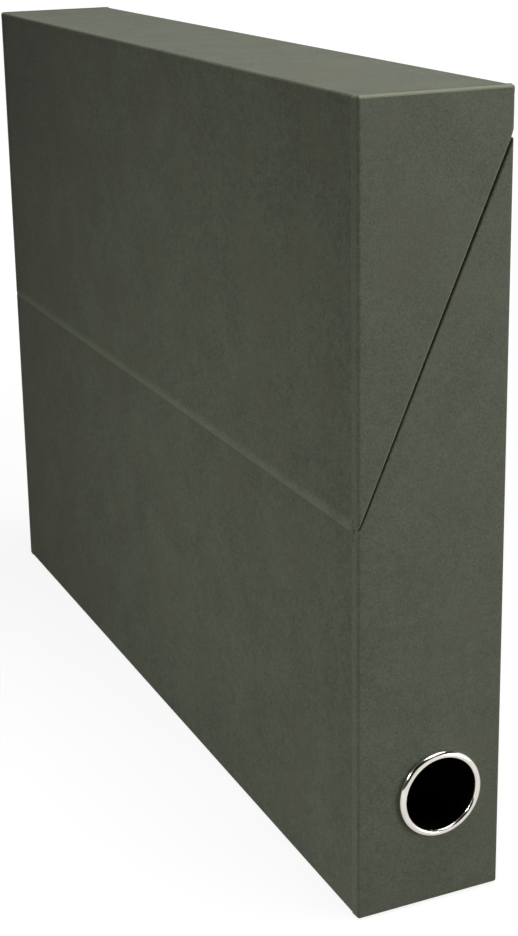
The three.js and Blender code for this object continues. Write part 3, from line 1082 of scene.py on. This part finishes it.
class BOX_OT_press_crease(bpy.types.Operator):
    """Press the hinge crease, the strip of paper that bends as the lid opens"""

    bl_idname = "box.press_crease"
    bl_label = "Press Crease"

    FOLD_REACH = 1.0 * MM
    FINE_STEP = 0.125 * MM
    COARSE_STEP = 0.4 * MM

    def execute(self, context):
        sizes = context.scene.box_covering
        layout = Layout(sizes)
        plan = Plan(layout)
        strip = self.flat_strip(layout, plan)
        tree, sockets = crease_tree()
        values = {
            "Hinge Height": layout.hinge_height, "Ridge Height": sizes.crease_height,
            "Slope Above": sizes.crease_above, "Slope Below": sizes.crease_below,
            "Length": 2 * plan.seam, "Run Out": sizes.crease_run_out,
            "Paper": sizes.paper, "Rubbed": sizes.rubbed_crease, "Material": olive_paper(),
        }
        strip = tidied(through_tree(strip, tree, sockets, values))
        give(strip, olive_paper())
        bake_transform(strip)
        return {"FINISHED"}

    def flat_strip(self, layout, plan):
        """A flat strip of the left panel's paper, finely divided where it folds."""
        low, high = hinge_strip(layout)
        middle = layout.hinge_height
        fold = 1.25 * self.FOLD_REACH
        heights = [low] + even_stops(low, middle - fold, self.COARSE_STEP)
        heights += [middle - fold] + even_stops(middle - fold, middle + fold, self.FINE_STEP)
        heights += [middle + fold] + even_stops(middle + fold, high, self.COARSE_STEP) + [high]
        mesh = bmesh.new()
        lines = [
            [mesh.verts.new((-layout.half_width - layout.side_bead(y, z), y, z)) for z in heights]
            for y in plan.crease_stops()
        ]
        for first, second in zip(lines, lines[1:]):
            for k in range(len(heights) - 1):
                mesh.faces.new((first[k], first[k + 1], second[k + 1], second[k]))
        data = bpy.data.meshes.new("crease_strip")
        mesh.to_mesh(data)
        mesh.free()
        return in_scene("crease_paper", data)


def refinish(nodes, material):
    """Gives CAD nodes that keep their shape a new material."""
    for name in nodes:
        node = frame["nodes"][name]
        if not node.material_slots:
            node.data.materials.append(material)
        for slot in node.material_slots:
            slot.material = material


def nodes_of_slot(slot):
    """Names of the CAD nodes that the record gives a material slot."""
    return [part["node"] for part in frame["record"]["subparts"] if part["material_slot"] == slot]


class BOX_OT_finish_inside(bpy.types.Operator):
    """Finish the boards, the black lining and the sheet under the bottom"""

    bl_idname = "box.finish_inside"
    bl_label = "Finish Inside"

    def execute(self, context):
        refinish(nodes_of_slot("greyboard"), grey_board())
        refinish(nodes_of_slot("lining"), black_paper())
        refinish(["underside_sheet"], olive_paper())
        return {"FINISHED"}


class BOX_OT_light_studio(bpy.types.Operator):
    """Set the floor, the lamps, the sky and the camera"""

    bl_idname = "box.light_studio"
    bl_label = "Light Studio"

    def execute(self, context):
        studio = context.scene.box_studio
        self.sky(context.scene, studio)
        self.floor(studio)
        self.lamps()
        self.camera(context.scene, studio)
        context.scene.view_settings.view_transform = "Standard"
        return {"FINISHED"}

    def seen_directly(self, nodes):
        """1 for what the camera sees, straight or in metal or glass."""
        paths = nodes.node("ShaderNodeLightPath").outputs
        total = paths["Is Camera Ray"]
        for name in ("Is Glossy Ray", "Is Transmission Ray"):
            total = nodes.math("MAXIMUM", total, paths[name])
        return total

    def sky(self, scene, studio):
        """White where the camera looks, dim as a light. Shiny things see a dark left and ceiling."""
        world = bpy.data.worlds.new("studio_sky")
        world.use_nodes = True
        scene.world = world
        nodes = Nodes(world.node_tree)
        looking = nodes.node("ShaderNodeTexCoord").outputs["Generated"]
        parts = nodes.node("ShaderNodeSeparateXYZ", None, {0: looking}).outputs
        ceiling = nodes.fading(parts["Z"], (0.35, 0.6), (1.0, 0.03))
        left = nodes.fading(parts["X"], (-0.5, -0.1), (0.05, 1.0))
        glossy = nodes.node("ShaderNodeLightPath").outputs["Is Glossy Ray"]
        mirrored = nodes.either(glossy, 1.0, ceiling * left)
        strength = nodes.either(self.seen_directly(nodes), studio.room_light, mirrored)
        background = nodes.tree.nodes["Background"]
        nodes.put(background.inputs["Strength"], strength)
        nodes.put(background.inputs["Color"], (1.0, 1.0, 1.0, 1.0))

    def floor(self, studio):
        """A pale floor that looks white and keeps a soft shadow."""
        reach = 6.0
        data = bpy.data.meshes.new("floor")
        data.from_pydata(
            [(-reach, -reach, 0.0), (reach, -reach, 0.0), (reach, reach, 0.0), (-reach, reach, 0.0)],
            [], [(0, 1, 2, 3)],
        )
        material = bpy.data.materials.new("pale_floor")
        material.use_nodes = True
        nodes = Nodes(material.node_tree)
        nodes.tree.nodes.remove(nodes.tree.nodes["Principled BSDF"])
        matt = nodes.node("ShaderNodeBsdfDiffuse", None, {"Color": (*[studio.floor_bounce] * 3, 1.0)})
        place = nodes.node("ShaderNodeTexCoord").outputs["Object"]
        parts = nodes.node("ShaderNodeSeparateXYZ", None, {0: place}).outputs
        in_front = nodes.fading(parts["Y"], (-0.25, -0.05), (1.0, 0.25))
        shine = in_front * (self.seen_directly(nodes) * studio.floor_shine)
        direct = nodes.node("ShaderNodeLightPath").outputs["Is Camera Ray"]
        away = nodes.node("ShaderNodeVectorMath", {"operation": "LENGTH"}, {0: place})
        whiteness = nodes.fading(away.outputs["Value"], (0.3, 0.8), (studio.floor_glow, 1.0))
        glow = nodes.node(
            "ShaderNodeEmission", None,
            {"Color": whiteness, "Strength": nodes.either(direct, shine, 1.0)},
        )
        both = nodes.node("ShaderNodeAddShader", None, {0: matt.outputs[0], 1: glow.outputs[0]})
        nodes.put(nodes.tree.nodes["Material Output"].inputs["Surface"], both.outputs[0])
        floor = in_scene("floor", data)
        floor.data.materials.append(material)

    def lamps(self):
        """Soft lamps overhead and in front to the right, and a narrow beam from the left."""
        # Each lamp's place, aim, size, power in watts and spread in degrees
        lamps = {
            "overhead": ((0.2, -0.22, 1.2), (0.0, 0.02, 0.2), (0.8, 0.8), 12.3, 180),
            "front_right": ((0.85, -0.95, 0.1), (0.0, -0.15, 0.06), (0.7, 0.7), 10.1, 180),
            "left": ((-0.6, -0.18, 0.4), (0.0, -0.05, -0.09), (0.15, 0.15), 0.385, 70),
        }
        for name, (place, aim, (width, height), power, spread) in lamps.items():
            data = bpy.data.lights.new(name, "AREA")
            data.shape = "RECTANGLE"
            data.size = width
            data.size_y = height
            data.spread = math.radians(spread)
            data.energy = power
            lamp = in_scene(name, data)
            lamp.location = place
            lamp.rotation_euler = (Vector(aim) - Vector(place)).to_track_quat("-Z", "Y").to_euler()

    def camera(self, scene, studio):
        """Stands the camera where the photograph was taken from."""
        data = bpy.data.cameras.new("camera")
        data.lens = studio.lens
        data.sensor_width = 36.0
        data.shift_y = studio.lens_rise
        camera = in_scene("camera", data)
        level = math.pi / 2 - studio.camera_tilt
        aim = Euler((level, 0.0, -studio.camera_turn)).to_matrix()
        roll = Matrix.Rotation(studio.camera_roll, 3, "Z")
        camera.rotation_euler = (aim @ roll).to_euler()
        camera.location = studio.camera_place
        scene.camera = camera


BUILD_ORDER = (
    BOX_OT_light_studio,
    BOX_OT_cover_base,
    BOX_OT_cover_lid,
    BOX_OT_press_crease,
    BOX_OT_set_finger_ring,
    BOX_OT_finish_inside,
)


class BOX_PT_sidebar(bpy.types.Panel):
    """Sizes, colours and steps of the archive transport box"""

    bl_idname = "BOX_PT_sidebar"
    bl_label = "Archive Transport Box"
    bl_space_type = "VIEW_3D"
    bl_region_type = "UI"
    bl_category = "Box"

    def draw(self, context):
        for group in GROUPS:
            part = self.layout.box()
            settings = getattr(context.scene, group)
            for name in GROUPS[group].__annotations__:
                part.prop(settings, name)
        for operator in BUILD_ORDER:
            self.layout.operator(operator.bl_idname)


CLASSES = (*GROUPS.values(), *BUILD_ORDER, BOX_PT_sidebar)


def register():
    for item in CLASSES:
        bpy.utils.register_class(item)
    for name, group in GROUPS.items():
        setattr(bpy.types.Scene, name, PointerProperty(type=group))


def unregister():
    for name in GROUPS:
        delattr(bpy.types.Scene, name)
    for item in reversed(CLASSES):
        bpy.utils.unregister_class(item)


def main():
    """Registers the add-on and builds every piece in order."""
    register()
    for operator in BUILD_ORDER:
        area, name = operator.bl_idname.split(".")
        getattr(getattr(bpy.ops, area), name)()


if __name__ == "__main__":
    main()
